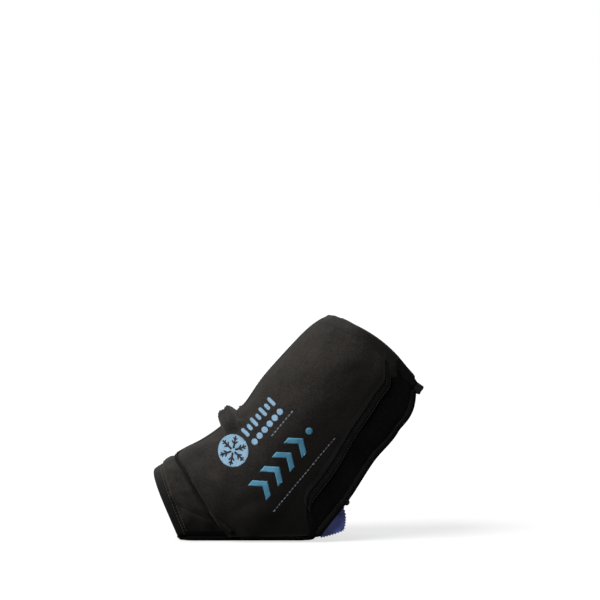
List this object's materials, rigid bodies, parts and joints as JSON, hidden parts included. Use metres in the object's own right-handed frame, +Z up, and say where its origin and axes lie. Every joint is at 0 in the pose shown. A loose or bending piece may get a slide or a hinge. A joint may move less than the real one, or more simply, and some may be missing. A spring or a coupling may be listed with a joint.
{
  "type": "cold compression wrap",
  "caption": "Padded ankle and foot wrap with a folding side flap, a pocket that holds a removable gel cold pack, and a grip-fastened instep strap; open at toes, heel and calf.",
  "frame": {"origin": "centre of the overall box, on the floor under the sole", "axes": "+X from the toes to the calf, -Y towards the outer side of the ankle with the side flap, +Z up"},
  "size_m": [0.23, 0.104, 0.1895],
  "materials": {
    "outer_fabric": "matte",
    "rear_fabric": "matte",
    "lining": "matte",
    "hem": "matte",
    "foam": "matte",
    "webbing": "matte",
    "hook": "matte",
    "loop": "matte",
    "label": "matte",
    "pack_film": "satin",
    "pack_gel": "satin"
  },
  "bodies": {
    "boot": {"far_outer_panel": "outer_fabric", "far_foam": "foam", "far_liner": "lining", "back_seam_tape": "webbing", "rear_wing_outer": "rear_fabric", "rear_wing_lining": "lining", "wing_edge_binding": "webbing", "sole_outer": "outer_fabric", "sole_foam": "foam", "sole_liner": "lining", "instep_strap": "outer_fabric", "strap_lining": "lining", "foot_opening_hem": "hem", "far_collar_hem": "hem", "far_heel_binding": "hem", "front_loop_patch": "loop", "strap_loop_patch": "loop", "care_label": "label"},
    "side_flap": {"side_panel": "outer_fabric", "rear_panel": "rear_fabric", "ridge_hem": "hem", "flap_foam": "foam", "pocket_liner": "lining", "front_edge_binding": "webbing", "diagonal_edge_binding": "webbing", "bottom_hem": "webbing", "near_collar_hem": "hem", "heel_edge_binding": "hem", "pocket_mouth_binding": "webbing", "instep_pleats": "outer_fabric", "front_hook_strip": "hook", "pull_tab": "webbing"},
    "gel_pack": {"pack_film": "pack_film", "pack_gel": "pack_gel", "pack_rim": "pack_film"},
    "strap_tail": {"strap_end": "outer_fabric", "strap_hook_pad": "hook", "strap_end_binding": "webbing"}
  },
  "joints": [
    {"name": "side_flap_open", "type": "hinge", "parent": "boot", "child": "side_flap", "pos_m": [-0.008, -0.048, 0.006], "axis": [1, 0, 0], "range_deg": [0, 80]},
    {"name": "gel_pack_slide", "type": "slide", "parent": "side_flap", "child": "gel_pack", "axis": [1, 0, 0], "range_m": [0, 0.14]},
    {"name": "strap_end_peel", "type": "hinge", "parent": "boot", "child": "strap_tail", "pos_m": [-0.0973, 0.0319, 0.0591], "axis": [0.9479, 0, 0.3187], "range_deg": [0, 85]}
  ]
}
